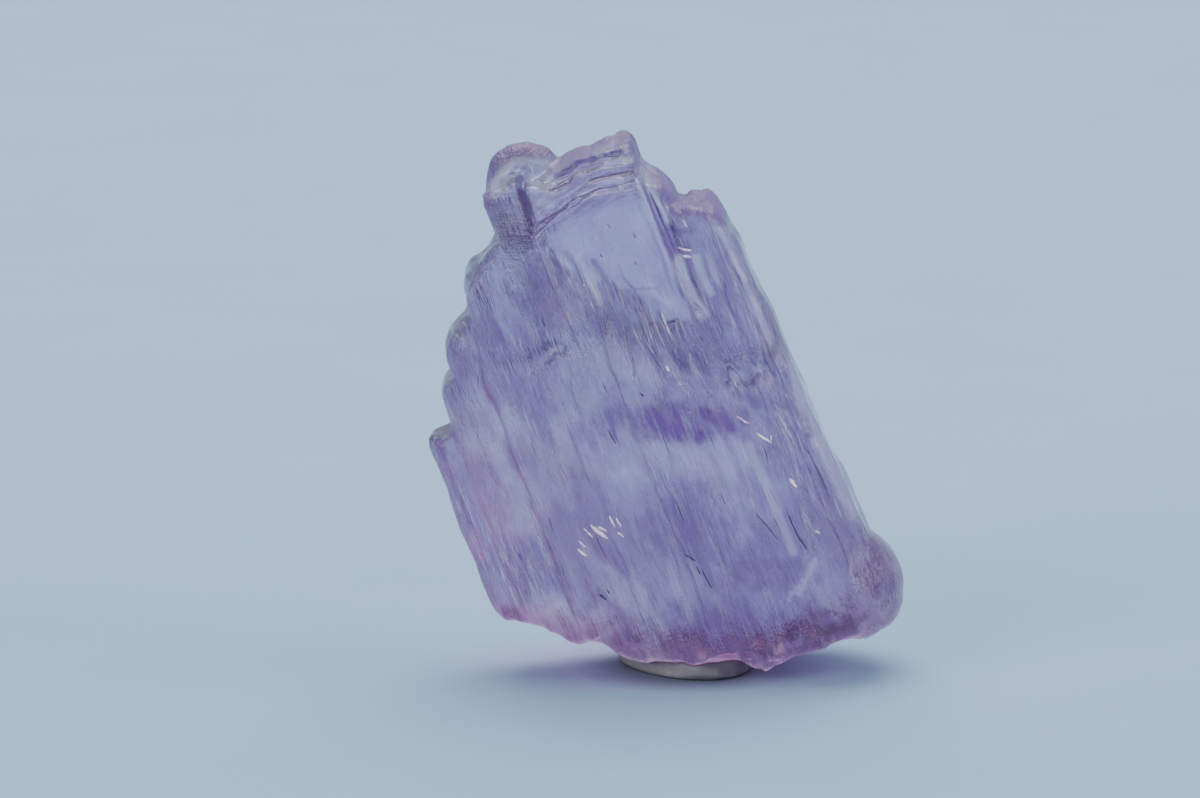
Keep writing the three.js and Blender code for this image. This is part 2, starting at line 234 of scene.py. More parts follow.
PALE_STROKES = [
    (((-5.6, 17.3), (-5, 17.7), (-4, 18.1), (-2.8, 17.8), (-1.7, 17.2), (-1.5, 16.9)), 0.56, 0.9),
    (((-3.1, 16.7), (-1.9, 16.6)), 0.68, 1), (((-3.1, 15.8), (-2.4, 15.3)), 0.57, 0.6),
    (((4, 15), (4.4, 14.1), (4.6, 12.6), (4.6, 11.8)), 0.6, 1),
    (((3.6, 15), (3.7, 13.1), (3.6, 10.6), (3.6, 8.5)), 0.14, 1),
    (((4.2, 9.1), (4, 8), (4.1, 6.5), (4.3, 5.4)), 0.8, 1),
    (((5.4, 9), (5.3, 7.8), (5.4, 6.5)), 0.55, 1),
    (((7.2, 11.2), (7.6, 10), (7.6, 8), (7.8, 6.5)), 0.37, 1),
    (((7.7, 6.3), (7.7, 4.1), (7.7, 2.1)), 0.45, 0.8), (((-3.1, 12.3), (-2.7, 11.3)), 0.5, 0.7),
    (((-1.9, 11.8), (-1.8, 9.9), (-1.7, 8.5)), 0.37, 0.8), (((1.9, 8.2), (2.6, 6.8)), 0.55, 0.8),
    (((1.3, 17), (3, 17.1)), 0.32, 0.8), (((1.8, 16.3), (3.8, 16.1)), 0.35, 0.6),
    (((-0.6, 15.3), (1.4, 15.5), (3.3, 15.2)), 0.15, 0.7),
    (((8.1, -5.1), (8.2, -8.3), (8.3, -10.4)), 1.03, 0.9), (((-2.6, 5.4), (-0.9, 3.5)), 1.8, 0.5),
    (((-1.8, -1.7), (-0.3, -3.4)), 2.06, 0.45), (((4, -3.4), (4.1, -7.1), (4, -11)), 0.57, 0.6),
    (((3.4, -13.8), (5.1, -12)), 0.36, 0.7), (((2.7, -13.8), (4.5, -12.8)), 0.31, 0.5),
    (((-11.4, 1.8), (-11.4, -0.5)), 0.87, 0.45), (((-6.9, 2), (-7, -0.2)), 1.28, 0.4),
]

RIM_WIDTH = 1.1  # the crystal has painted shade, a darker violet, along its outline this far in
RIM_STEPS = 10  # the distance from the outline is counted for this many steps
# How strong the painted shade along the outline is.
RIM_SHADE = 0.5
TOP_STAIN_AND_SHADE = 0.95  # the stain and painted shade along the outline of the top, which lies above the line of TOP_STEPS
TOP_STEPS = ((-8.0, 4.0, 5.0, 9.0), (15.5, 15.5, 10.8, 10.8))
SMOOTH_W = (-12.5, -7.0)  # the streaks fade out downwards between these heights

# Bright slivers inside that glow with painted light, standing in for glints where a healed crack turns
# to the light: start and end (u, w), width.
SPARKLES = [
    ((-8.5, -5.7), (-8.2, -6.3), 0.12), ((-8.75, -6.2), (-8.3, -6.9), 0.16),
    ((-7.9, -5), (-7.5, -5.8), 0.14), ((-7.4, -4.9), (-6.6, -6.2), 0.26),
    ((-7, -5.2), (-6.5, -5.7), 0.14), ((-6, -4.7), (-5.9, -5.6), 0.16),
    ((-5.6, -5), (-5.5, -5.7), 0.12), ((-5.9, -5.9), (-5.6, -6.4), 0.12),
    ((4.5, 9.9), (5.3, 9.5), 0.16), ((4.6, 9.3), (5.1, 9.1), 0.22),
    ((5.5, 11.6), (5.6, 11), 0.12), ((0.9, 3.2), (1, 2.8), 0.14),
    ((4.7, -2.9), (5.3, -3.9), 0.14), ((5.3, -3.9), (5.5, -3.3), 0.08),
    ((5.5, -6.4), (5.7, -7.2), 0.18), ((5.7, -10.3), (5.9, -10.6), 0.14),
    ((3.9, -1.4), (4.5, -2.2), 0.12),
]

# Dark slivers inside: start and end (u, w), width.
SHADOWS = [
    ((-2.3, -8.7), (-1.8, -9.4), 0.13), ((-1.6, -9.9), (-1.45, -11.5), 0.13),
    ((-1.9, -9.6), (-1.85, -10.3), 0.08), ((-4.1, 0.7), (-3.9, -0.5), 0.1),
    ((-1.3, 2.2), (-1.15, 1.9), 0.14), ((2.6, -7.4), (3.5, -10.2), 0.08),
    ((4.6, -8.2), (4.9, -11.6), 0.1), ((7, -4.4), (7.2, -9), 0.07),
    ((-8.5, -9.5), (-8.2, -10.1), 0.16), ((-8, -9.3), (-7.8, -9.8), 0.1),
    ((2, 12), (2.1, 11.6), 0.1), ((0.6, 13.1), (0.75, 12.7), 0.08),
    ((-0.6, 11.4), (-0.5, 11.1), 0.08), ((1.4, 10.2), (1.5, 9.9), 0.07),
]

# Crisp pale hairs on the front face: start and end (u, w), width.
HAIRS = [
    ((-2.74, 11.14), (-2.78, 10.02), 0.09), ((-1.34, 11.75), (-1.19, 9.56), 0.07),
    ((-1.84, 8.87), (-1.41, 7.56), 0.06), ((-0.28, 8.15), (-0.18, 6.32), 0.06),
    ((-8.4, 12.28), (-8.09, 11.05), 0.07), ((-7.67, 10.09), (-7.55, 9.37), 0.06),
    ((3.6, 14.9), (3.62, 10.6), 0.06), ((-1.93, 10.37), (-1.77, 8.71), 0.06),
    ((-8.48, 12.34), (-8.17, 11.23), 0.08), ((-7.3, 6.76), (-7.13, 5.4), 0.06),
    ((-0.42, 8.09), (-0.28, 5.22), 0.08), ((-5.36, -8.25), (-5.55, -12.36), 0.08),
    ((3.57, -3.77), (3.75, -9.48), 0.06), ((7.52, -7.54), (7.46, -10.63), 0.06),
    ((0.19, 6.48), (0.63, 3.29), 0.06), ((-0.07, 2.91), (-0.01, 0.93), 0.06),
    ((1.82, 1.42), (1.87, -0.55), 0.05), ((-7.55, 8.24), (-7.49, 5.52), 0.05),
    ((-11.4, 1.76), (-11.27, 0.32), 0.06), ((-14.14, 1.13), (-14.04, -0.03), 0.06),
    ((-1.53, -11.83), (-1.47, -13.84), 0.06), ((-10.33, -8.36), (-10.22, -9.5), 0.05),
]

# Threads along the columns, in the front face: how many, and the least and greatest length.
PALE_THREADS = (80, 0.8, 3.2)
DARK_THREADS = (30, 0.7, 2.2)
THREAD_WIDTH = 0.05
THREADS_LEFT = -13.0
THREADS_ACROSS = 19.5
THREADS_FOOT = -11.0
SLIVER_BOW = 0.05  # how far a sliver bends, against its length
SLIVER_STEPS = 9
SLIVER_HALF_DEPTH = 0.04
THREAD_DEPTH = 0.04
INNER_DEPTH = 0.15  # how far under the front face the dark slivers lie
SPARKLE_DEPTH = 0.02
ICICLE_COUNT = 16
ICICLE_DEPTH = 0.0  # they lie in the face itself
ICICLES_LEFT = -3.7
ICICLES_ACROSS = 6.8

# The veil of healed cracks inside, which follows the front face.
VEIL_DEPTH = 2.8
VEIL_STRENGTH = 0.5
VEIL_WAVE = 0.25
VEIL_EVERY = 2  # it has a corner at every second step of the crystal's grid
LEAST_THICKNESS = 1.6  # where the crystal is thinner than this it has no veil

# The putty.
PUTTY_CENTRE = (1.01, 0.378)
PUTTY_RADIUS = 4.1
PUTTY_STRETCH = 1.35  # it is longer one way than the other
PUTTY_TURN_DEG = 32.0  # its long way runs from the front right to the back left
PUTTY_HEIGHT = 1.66
PUTTY_STEP = 0.14
SEAT_GAP = 0.04  # between the putty and the crystal

# The photograph's view.
VIEW_ELEVATION_DEG = 12.0
VIEW_DISTANCE = 400.0
VIEW_WIDTH = 78.0  # how much the picture spans at the crystal
VIEW_SHIFT = (-4.55, 0.05)  # from the crystal's origin to the middle of the picture
SENSOR_WIDTH = 36.0

# The sheet and the light.
SHEET_SIZE = 6.0  # metres
SHEET_COLOUR = (0.31, 0.49, 0.68)
# Darker places on the sheet under the crystal: middle, reach, colour, and where the edge starts to fade.
# The first is the lilac light that comes through, the second the shadow close round the putty.
SHEET_SHADES = [
    ((-0.5, 0.0, 0.0), (15.0, 9.0, 5.0), (0.39, 0.41, 0.67), 0.45),
    ((1.2, -1.2, 0.0), (7.4, 6.6, 5.0), (0.20, 0.25, 0.33), 0.55),
]
WORLD_COLOUR = (0.62, 0.80, 1.0)
WORLD_FRONT = 0.3  # how bright the world is on the camera's side, against 1 behind the crystal
WORLD_STRENGTH = 0.75
SOFTBOXES = [
    # name, place and target in metres, size, watts
    ("top_softbox", (0.0, 0.3, 0.7), (0.0, 0.0, 0.0), 0.7, 7.2),
    ("left_softbox", (-0.7, -0.6, 0.5), (0.0, 0.0, 0.02), 0.6, 4.4),
    ("right_softbox", (0.8, -0.1, 0.45), (0.0, 0.0, 0.02), 0.5, 3.0),
]
LIGHT_COLOUR = (1.0, 0.98, 0.96)


def scatter(index, seed):
    """A number between 0 and 1 that differs from one index to the next."""
    return (index * GOLDEN + seed) % 1


def hashed(seed, *cells):
    """A fixed number between -1 and 1 for each cell of a lattice."""
    primes = (374761393, 668265263, 2246822519)
    mixed = np.uint32(seed * 3266489917 & 0xFFFFFFFF)
    for prime, cell in zip(primes, cells):
        mixed = mixed + cell.astype(np.int64).astype(np.uint32) * np.uint32(prime)
    mixed = (mixed ^ (mixed >> np.uint32(13))) * np.uint32(1274126177)
    mixed = mixed ^ (mixed >> np.uint32(16))
    return (mixed & np.uint32(0xFFFF)).astype(np.float32) / 32767.5 - 1


def noise(seed, *places):
    """Smooth noise between -1 and 1 that changes over about one unit of each coordinate."""
    places = np.broadcast_arrays(*places)
    cells = [np.floor(place) for place in places]
    shares = [place - cell for place, cell in zip(places, cells)]
    shares = [share * share * (3 - 2 * share) for share in shares]
    total = 0.0
    for corner in range(2 ** len(places)):
        offsets = [(corner >> axis) & 1 for axis in range(len(places))]
        weight = 1.0
        for offset, share in zip(offsets, shares):
            weight = weight * (share if offset else 1 - share)
        total = total + weight * hashed(seed, *[cell + offset for cell, offset in zip(cells, offsets)])
    return total


def ease(value, low, high):
    """From 0 at low to 1 at high, with soft ends."""
    share = np.clip((value - low) / (high - low), 0, 1)
    return share * share * (3 - 2 * share)


def face_depth(u, depth, deepest, arch):
    """The depth of a bulging broad face at a place across it."""
    share = (u - deepest) / HALF_WIDTH
    return depth * (1 - arch * share * share)


def smooth_union(first, second, blend):
    """The nearer of two distances, with a soft hollow where the shapes meet."""
    overlap = np.maximum(blend - np.abs(first - second), 0) / blend
    return np.minimum(first, second) - overlap * overlap * blend / 4


def rounded(first, second, radius):
    """The overlap of two shapes, with the edge between them rounded."""
    first, second = first + radius, second + radius
    outside = np.hypot(np.maximum(first, 0), np.maximum(second, 0))
    return outside + np.minimum(np.maximum(first, second), 0) - radius


def column_field(u, v, w, reach_u, reach_v, reach_w, corner, shoulder, rise, fall):
    """The distance to one growth column, with sloping, rounded ends."""
    middle = sum(reach_u) / 2
    across = np.abs(u - middle) - (reach_u[1] - reach_u[0]) / 2
    through = np.abs(v - sum(reach_v) / 2) - (reach_v[1] - reach_v[0]) / 2
    sides = rounded(across, through, corner * 0.8)
    above = (w - reach_w[1] - (u - middle) * rise) / math.hypot(1, rise)
    below = (reach_w[0] + (u - middle) * fall - w) / math.hypot(1, fall)
    return rounded(sides, np.maximum(above, below), shoulder * 0.8)


def rib_top(u, index):
    """Where a rib ends: by the steps of the left side, or hanging below the clear face."""
    steps = -0.9 - u * 0.75
    if u < -9:
        return min(12.2 + (u + 9) * 1.75, steps + 8) - 0.8
    return min(4.6 + 4.2 * scatter(index, 0.37), window_floor(u) - 1.6)


def foot_height(u):
    """The height of the broken foot, which slopes down from the left."""
    return -17.4 - min(u + 1.5, 0) * 0.6


def rib_shape(index):
    """A rib as a column: its reach along u, v and w, its rounding and the slopes of its ends."""
    u = RIB_FIRST_U + index * RIB_PITCH
    front = -face_depth(u, *FRONT_FACE) - RIB_JITTER * scatter(index, 0.11)
    back = face_depth(u, *BACK_FACE) + RIB_JITTER * scatter(index, 0.73)
    half = RIB_WIDTH * (0.8 + 0.4 * scatter(index, 0.53)) / 2
    ends = (foot_height(u) + 1.1 * scatter(index, 0.29), rib_top(u, index))
    return ((u - half, u + half), (front, back), ends, RIB_CORNER, RIB_SHOULDER, 0.0, 0.0)


def ledge_field(u, v, w, index):
    """The distance to one step of the slanted top, whose edge bows up in its middle."""
    top = LEDGE_FIRST + LEDGE_RISE * index + 0.15 * scatter(index, 0.5)
    front = -4.6 + LEDGE_DEPTH * index
    along = np.clip((u - LEDGE_LEFT) / (LEDGE_RIGHT - LEDGE_LEFT), 0, 1)
    lowered = w - LEDGE_CURVE * (np.sin(math.pi * along) - 0.5) - 0.12 * noise(45 + index, u / 0.9)
    shape = ((LEDGE_LEFT, LEDGE_RIGHT), (front, 3.0), (-10.0, top), 0.4, 0.12, LEDGE_SLOPE, 0.0)
    return column_field(u, v, lowered, *shape)


def lobe_field(u, v, w, centre, radii):
    """The distance to a rounded lobe."""
    place = [(p - c) / r for p, c, r in zip((u, v, w), centre, radii)]
    return (np.sqrt(sum(p * p for p in place)) - 1) * min(radii)


def rib_field(u, v, w, index):
    """The distance to a rib, which thins out upwards to a point."""
    shape = rib_shape(index)
    top = shape[2][1]
    thinning = ease(w, top - RIB_POINT, top)
    middle = sum(shape[0]) / 2
    narrowed = middle + (u - middle) * (1 + 1.2 * thinning)
    flattened = v * (1 + 0.22 * thinning)
    return column_field(narrowed, flattened, w, *shape)


def body_field(u, v, w):
    """The distance to the crystal before its surface relief."""
    ends = w + WARP_ALONG * noise(43, u / 1.1, v / 1.6, w / 4)
    sides = u + WARP_ACROSS * noise(44, u / 4, v / 2.5, w / 3)
    parts = [lobe_field(u, v, w, *lobe) for lobe in LOBES]
    parts += [rib_field(sides, v, ends, index) for index in range(RIB_COUNT)]
    parts += [column_field(sides, v, ends, *shape) for shape in COLUMNS]
    field = parts[0]
    for part in parts[1:]:
        field = smooth_union(field, part, JOIN_BLEND)
    for index in range(LEDGE_COUNT):
        field = smooth_union(field, ledge_field(sides, v, w, index), LEDGE_BLEND)
    return field


def window_floor(u):
    """The lower edge of the clear face."""
    return WINDOW_FLOOR - WINDOW_DROP * u


def line_level(u, w):
    """A height that stays the same along each etched line of the slanted top."""
    along = np.maximum(u, ETCHED_LEFT)
    return w + BOW * (along - BOW_MIDDLE) ** 2 + LEFT_SLOPE * (np.minimum(u, ETCHED_LEFT) - ETCHED_LEFT)


def window_mask(u, w):
    """1 on the clear face, 0 elsewhere, with icicles along its lower edge."""
    lower = window_floor(u) + 0.9 * noise(31, u / 0.45, w / 6) + 0.5 * noise(32, u / 0.2, w / 4)
    inside = ease(u, WINDOW_U[0], WINDOW_U[0] + 1.2) * (1 - ease(u, WINDOW_U[1] - 0.3, WINDOW_U[1]))
    level = line_level(u, w)
    return inside * ease(w, lower - 0.2, lower + 0.8) * (1 - ease(level, WINDOW_TOP - 1, WINDOW_TOP))


def zone_mask(zones, u, w, seed):
    """How strongly a place lies in any of the zones, with ragged edges drawn out along w."""
    ragged = 0.55 * noise(seed, u / 0.4, w / 1.3) + 0.35 * noise(seed + 1, u / 0.18, w / 0.6)
    total = 0.0
    for (centre_u, centre_w), (radius_u, radius_w), slope, strength in zones:
        above = w - centre_w - slope * (u - centre_u)
        reach = np.hypot((u - centre_u) / radius_u, above / radius_w)
        total = np.maximum(total, strength * (1 - ease(reach + 0.5 * ragged, 0.5, 1.15)))
    return total


def stroke_mask(strokes, u, w, seed):
    """How strongly a place lies in any of the strokes, with ragged edges drawn out along w."""
    ragged = 0.5 * noise(seed, u / 0.3, w / 1.0) + 0.3 * noise(seed + 1, u / 0.15, w / 0.5)
    total = np.zeros(np.shape(u))
    for path, width, strength in strokes:
        apart = np.full(np.shape(u), np.inf)
        for start, end in zip(path[:-1], path[1:]):
            along_u, along_w = end[0] - start[0], end[1] - start[1]
            share = ((u - start[0]) * along_u + (w - start[1]) * along_w) / (along_u**2 + along_w**2)
            share = np.clip(share, 0, 1)
            beside = np.hypot(u - start[0] - share * along_u, w - start[1] - share * along_w)
            apart = np.minimum(apart, beside)
        reach = 2 * apart / max(width, LEAST_STROKE)
        total = np.maximum(total, strength * (1 - ease(reach + 0.5 * ragged, 0.45, 1.35)))
    return total


def stain_mask(zones, strokes, u, w, seed):
    """How strongly a place is stained, by a zone or by a stroke."""
    return np.maximum(zone_mask(zones, u, w, seed), stroke_mask(strokes, u, w, seed + 20))


def layered_noise(seed, u, w):
    """Noise with finer and fainter layers over it, mostly between -1 and 1."""
    return sum(0.6**layer * noise(seed + layer, u * 2**layer, w * 2**layer) for layer in range(4))


def etched_mask(u, w):
    """1 where the top is eaten into fine lines: on the left column and above the clear face."""
    column = ease(u, -7.2, -6.5) * (1 - ease(u, -4.2, -3.9)) * ease(w, 11.0, 13.0)
    above = ease(line_level(u, w), WINDOW_TOP - 1.2, WINDOW_TOP) * (1 - ease(u, 3.6, 4.0))
    return np.maximum(column, above * ease(u, -4.2, -3.9))


def striae(seed, u, w, fine, coarse):
    """Grooves along the columns, fine and coarse, each kind with its size across and along."""
    drift = 0.3 * noise(seed, u / 3, w / 7)
    grooves = STRIA_FINE * noise(seed + 1, u / fine[0] + drift, w / fine[1])
    return grooves + STRIA_COARSE * noise(seed + 2, u / coarse[0] + drift, w / coarse[1])


def front_relief(u, w):
    """How far the front face lies under the ideal columns."""
    pits = 0.05 * noise(14, u / 0.5, w / 0.9) + 0.03 * noise(15, u / 0.25, w / 0.45)
    wander = 0.15 * noise(16, u / 0.9, w / 1.5)
    etch = ETCH_DEPTH * np.mod((line_level(u, w) + wander) / ETCH_PITCH, 1.0)
    etched = etched_mask(u, w)
    relief = striae(11, u, w, (0.3, 6), (0.72, 11)) + pits
    relief = relief * (1 - 0.85 * window_mask(u, w)) * (1 - 0.8 * etched) + etch * etched
    for (centre_u, centre_w), (radius_u, radius_w), depth in HOLLOWS + scars():
        reach = np.hypot((u - centre_u) / radius_u, (w - centre_w) / radius_w)
        relief = relief + depth * (1 - ease(reach, 0.1, 1.0))
    return relief


def scars():
    """Scattered shallow hollows: centre (u, w), radii, depth."""
    places = []
    for index in range(SCAR_COUNT):
        shares = (scatter(index, 0.05), scatter(index * 7, 0.6))
        centre = tuple(c + s * share for c, s, share in zip(SCARS_CORNER, SCARS_SPREAD, shares))
        radii = (0.4 + 1.1 * scatter(index * 3, 0.2), 0.5 + 1.2 * scatter(index * 5, 0.9))
        places.append((centre, radii, SCAR_DEPTH * (2 * scatter(index * 11, 0.3) - 0.8)))
    return places


def back_relief(u, w):
    """How far the back face lies under the ideal columns."""
    pits = 0.05 * noise(24, u / 0.6, w / 1.1)
    return (striae(21, u, w, (0.34, 7), (0.8, 12)) + pits) * (1 - 0.9 * window_mask(u, w))


def crystal_field(u, v, w):
    """The distance to the crystal's finished surface."""
    field = body_field(u, v, w)
    near = np.abs(field) < 0.9
    lumps = np.zeros_like(field)
    full_u, full_v, full_w = (np.broadcast_to(p, field.shape)[near] for p in (u, v, w))
    lumps[near] = LUMP_HEIGHT * noise(41, full_u / 2.1, full_v / 2.1, full_w / 3.3)
    lumps[near] += 0.4 * LUMP_HEIGHT * noise(42, full_u / 0.9, full_v / 0.9, full_w / 1.4)
    front = 1 - ease(v, -1.5, 0.5)
    back = ease(v, -0.5, 1.5)
    return field + lumps + front * front_relief(u, w) + back * back_relief(u, w)


def spread_axes(*axes):
    """The coordinates of a grid, shaped so that they spread out along one axis each."""
    shapes = ((-1, 1, 1), (1, -1, 1), (1, 1, -1))
    return [axis.astype(np.float32).reshape(shape) for axis, shape in zip(axes, shapes)]


def surface_net(field, axes):
    """Vertices and quads of the surface where a field on a grid is zero."""
    inside = field < 0
    corners = [(i, j, k) for i in (0, 1) for j in (0, 1) for k in (0, 1)]
    size = [n - 1 for n in field.shape]
    count = np.zeros(size, dtype=np.int8)
    for i, j, k in corners:
        count += inside[i : i + size[0], j : j + size[1], k : k + size[2]]
    cells = np.argwhere((count > 0) & (count < 8))
    values = [field[tuple((cells + corner).T)] for corner in corners]
    total = np.zeros((len(cells), 3))
    crossings = np.zeros(len(cells))
    for first, a in enumerate(corners):
        for second, b in enumerate(corners):
            if sum(b) - sum(a) != 1 or sum(abs(p - q) for p, q in zip(a, b)) != 1:
                continue
            crossed = (values[first] < 0) != (values[second] < 0)
            share = values[first][crossed] / (values[first][crossed] - values[second][crossed])
            total[crossed] += np.array(a) + share[:, None] * (np.array(b) - np.array(a))
            crossings[crossed] += 1
    places = cells + total / crossings[:, None]
    steps = [axis.reshape(-1) for axis in axes]
    vertices = np.column_stack([np.interp(p, np.arange(len(a)), a) for p, a in zip(places.T, steps)])
    number = np.full(size, -1, dtype=np.int64)
    number[tuple(cells.T)] = np.arange(len(cells))
    quads = []
    for axis in range(3):
        one, two = (axis + 1) % 3, (axis + 2) % 3
        here = np.moveaxis(inside, axis, 0)
        edges = np.argwhere(here[:-1] != here[1:])
        leaving = here[:-1][tuple(edges.T)]
        order = [axis] + [other for other in range(3) if other != axis]
        places = edges[:, np.argsort(order)]
        ring = []
        for back_one, back_two in ((1, 1), (0, 1), (0, 0), (1, 0)):
            cell = places.copy()
            cell[:, one] -= back_one
            cell[:, two] -= back_two
            ring.append(number[tuple(cell.T)])
        ring = np.stack(ring, axis=1)
        quads.append(np.where(leaving[:, None], ring, ring[:, ::-1]))
    return vertices, np.concatenate(quads)


def to_scene(points):
    """Points of the crystal's frame, in millimetres, as places in the scene, in metres."""
    u, v, w = np.asarray(points, dtype=float).T
    u = np.where(u > 0, u * (1 - RIGHT_TAPER * w), u)
    lean = math.radians(LEAN_DEG)
    x = u * math.cos(lean) - w * math.sin(lean)
    z = u * math.sin(lean) + w * math.cos(lean)
    return (np.column_stack([x, v, z]) + np.array(CRYSTAL_ORIGIN)) * MM


def to_crystal(points):
    """Places in the scene, in millimetres, as points of the crystal's frame."""
    lean = math.radians(LEAN_DEG)
    x, y, z = (points[..., axis] - CRYSTAL_ORIGIN[axis] for axis in range(3))
    u = x * math.cos(lean) + z * math.sin(lean)
    w = -x * math.sin(lean) + z * math.cos(lean)
    return np.where(u > 0, u / (1 - RIGHT_TAPER * w), u), y, w


def new_object(name, data):
    """A new object, linked to the scene."""
    made = bpy.data.objects.new(name, data)
    bpy.context.scene.collection.objects.link(made)
    return made


def mesh_object(name, vertices, faces, material, attributes=None, smooth=True):
    """A new object from numpy arrays, with float attributes on its vertices."""
    mesh = bpy.data.meshes.new(name)
    mesh.from_pydata(vertices.tolist(), [], faces.tolist())
    for key, values in (attributes or {}).items():
        layer = mesh.attributes.new(key, "FLOAT", "POINT")
        layer.data.foreach_set("value", np.asarray(values, dtype=np.float32))
    mesh.polygons.foreach_set("use_smooth", [smooth] * len(mesh.polygons))
    mesh.materials.append(material)
    mesh.update()
    return new_object(name, mesh)


class Nodes:
    """Short ways to add shader nodes to a new material or world."""

    def __init__(self, owner):
        owner.use_nodes = True
        self.owner = owner
        self.tree = owner.node_tree
        self.shader = self.tree.nodes.get("Principled BSDF") or self.tree.nodes["Background"]

    def add(self, kind, settings=None, **inputs):
        """A new shader node, with its settings and inputs."""
        node = self.tree.nodes.new("ShaderNode" + kind)
        for key, value in (settings or {}).items():
            setattr(node, key, value)
        self.fill(node, inputs)
        return node

    def fill(self, node, inputs):
        """Feed inputs by name, where _ stands for a space."""
        for key, value in inputs.items():
            self.feed(node.inputs[key.replace("_", " ")], value)

    def surface(self, **inputs):
        """Feed the inputs of the surface shader."""
        self.fill(self.shader, inputs)

    def feed(self, socket, value):
        """Link an input to an output or to the attribute of a name, or set it to a value."""
        if isinstance(value, str):
            value = self.add("Attribute", {"attribute_name": value}).outputs["Fac"]
        if isinstance(value, bpy.types.NodeSocket):
            self.tree.links.new(value, socket)
        else:
            socket.default_value = value

    def math(self, operation, first, second):
        node = self.add("Math", {"operation": operation})
        self.feed(node.inputs[0], first)
        self.feed(node.inputs[1], second)
        return node.outputs[0]

    def times(self, first, second):
        return self.math("MULTIPLY", first, second)

    def plus(self, first, second):
        return self.math("ADD", first, second)

    def mix(self, share, first, second):
        """The second colour laid over the first, by a share."""
        node = self.add("Mix", {"data_type": "RGBA"})
        self.feed(node.inputs[0], share)
        self.feed(node.inputs[6], first)
        self.feed(node.inputs[7], second)
        return node.outputs[2]

    def spread(self, value, low, high, to_low=0.0, to_high=1.0):
        """A value moved from one range to another, and held within it."""
        node = self.add("MapRange")
        for socket, number in zip(node.inputs[:5], (value, low, high, to_low, to_high)):
            self.feed(socket, number)
        return node.outputs[0]

    def place(self):
        """Places in the scene, in metres."""
        return self.add("TexCoord").outputs["Object"]

    def mapping(self, place, middle, lengths, turn=0.0):
        """Places measured from a middle and divided by a length for each axis, in millimetres."""
        node = self.add(
            "Mapping",
            {"vector_type": "TEXTURE"},
            Vector=place,
            Location=[length * MM for length in middle],
            Rotation=(0, turn, 0),
            Scale=[length * MM for length in lengths],
        )
        return node.outputs[0]

    def crystal_place(self, lengths):
        """Places in the crystal's frame, divided by a length for each axis, in millimetres."""
        return self.mapping(self.place(), CRYSTAL_ORIGIN, lengths, -math.radians(LEAN_DEG))

    def noise(self, place, detail, roughness, scale=1.0, dimensions="3D"):
        settings = {"noise_dimensions": dimensions}
        inputs = {"Vector": place, "Scale": scale, "Detail": detail, "Roughness": roughness}
        return self.add("TexNoise", settings, **inputs).outputs[0]


def kunzite_material():
    """Clear crystal with streaks and stains in its skin, painted shade along its outline, a painted glow
    under its pale places, frosted patches and a violet inside.
    """
    nodes = Nodes(bpy.data.materials.new("kunzite"))
    streaks = nodes.noise(nodes.crystal_place((0.35, 1.2, 5.0)), 3.0, 0.7)
    hairs = nodes.noise(nodes.crystal_place((0.11, 0.4, 1.8)), 2.0, 0.65)
    grain = nodes.noise(nodes.crystal_place((0.14, 0.14, 0.22)), 2.0, 0.65)
    across = nodes.add("SeparateXYZ", Vector=nodes.crystal_place((1.2, 1.0, 1.0)))
    line_place = nodes.add("CombineXYZ", X=across.outputs["X"], Y="level")
    lines = nodes.noise(line_place.outputs[0], 2.0, 0.6, dimensions="2D")

    streak = nodes.times(nodes.spread(streaks, 0.45, 0.6, 0.0, 0.8), "streaked")
    hair = nodes.times(nodes.spread(hairs, 0.53, 0.62), "streaked")
    speck = nodes.times(nodes.spread(grain, 0.6, 0.68, 0.0, 0.45), "window")
    smoke = nodes.times("smoke", nodes.spread(streaks, 0.35, 0.6, 0.5, 1.1))
    violet = nodes.times("violet", nodes.spread(streaks, 0.38, 0.55, 0.6, 1.15))
    layers = [
        ("clouded", CLOUDED_TINT),
        (nodes.times("patchy", 0.5), SHADED_TINT),
        (streak, STREAK_TINT),
        (hair, HAIR_TINT),
        ("pale", PALE_TINT),
        (speck, SPECK_TINT),
        (smoke, SMOKE_TINT),
        (violet, VIOLET_TINT),
    ]
    stained = CLEAR_TINT
    for share, tint in layers:
        stained = nodes.mix(share, stained, tint)
    lined = nodes.mix(nodes.spread(lines, 0.44, 0.58), *LINE_TINTS)
    ruled = nodes.mix(nodes.times("etched", 0.5), stained, lined)
    tinted = nodes.mix(nodes.times(violet, 0.7), ruled, stained)
    # Stain with painted shade on the top outline.
    colour = nodes.mix(nodes.times("matt_top_rim_stain_and_shade", 0.7), tinted, TOP_RIM_STAIN_AND_SHADE_TINT)

    frosted = nodes.spread("frost", 0.0, 1.0, 0.01, 0.045)
    rough = nodes.times(nodes.spread(grain, 0.35, 0.7, 0.6, 1.3), frosted)
    height = nodes.plus(nodes.times(streaks, 0.9), nodes.times(hairs, 0.7))
    height = nodes.plus(height, nodes.times(grain, 0.45))
    height = nodes.plus(height, nodes.times(lines, nodes.times("etched", 0.4)))
    strength = nodes.spread("frost", 0.0, 1.0, 0.1, 0.8)
    bump = nodes.add("Bump", Height=height, Strength=strength, Distance=0.00022)
    milky = nodes.times(hair, nodes.times("frost", 0.3))
    nodes.surface(
        Base_Color=colour,
        Roughness=nodes.plus(rough, nodes.times("matt_top_rim_stain_and_shade", 0.35)),
        Normal=bump.outputs[0],
        # Painted glow: the skin gives off light of its own under its pale places.
        Emission_Color=PAINTED_GLOW_COLOUR,
        Emission_Strength=nodes.times("lens", PAINTED_GLOW_STRENGTH),
        IOR=KUNZITE_IOR,
        Transmission_Weight=nodes.math("SUBTRACT", nodes.spread("matt_top_rim_stain_and_shade", 0.0, 1.0, 1.0, 0.5), milky),
    )
    volume = nodes.add("VolumeAbsorption", Color=INNER_TINT, Density=INNER_DENSITY)
    nodes.fill(nodes.tree.nodes["Material Output"], {"Volume": volume.outputs[0]})
    return nodes.owner


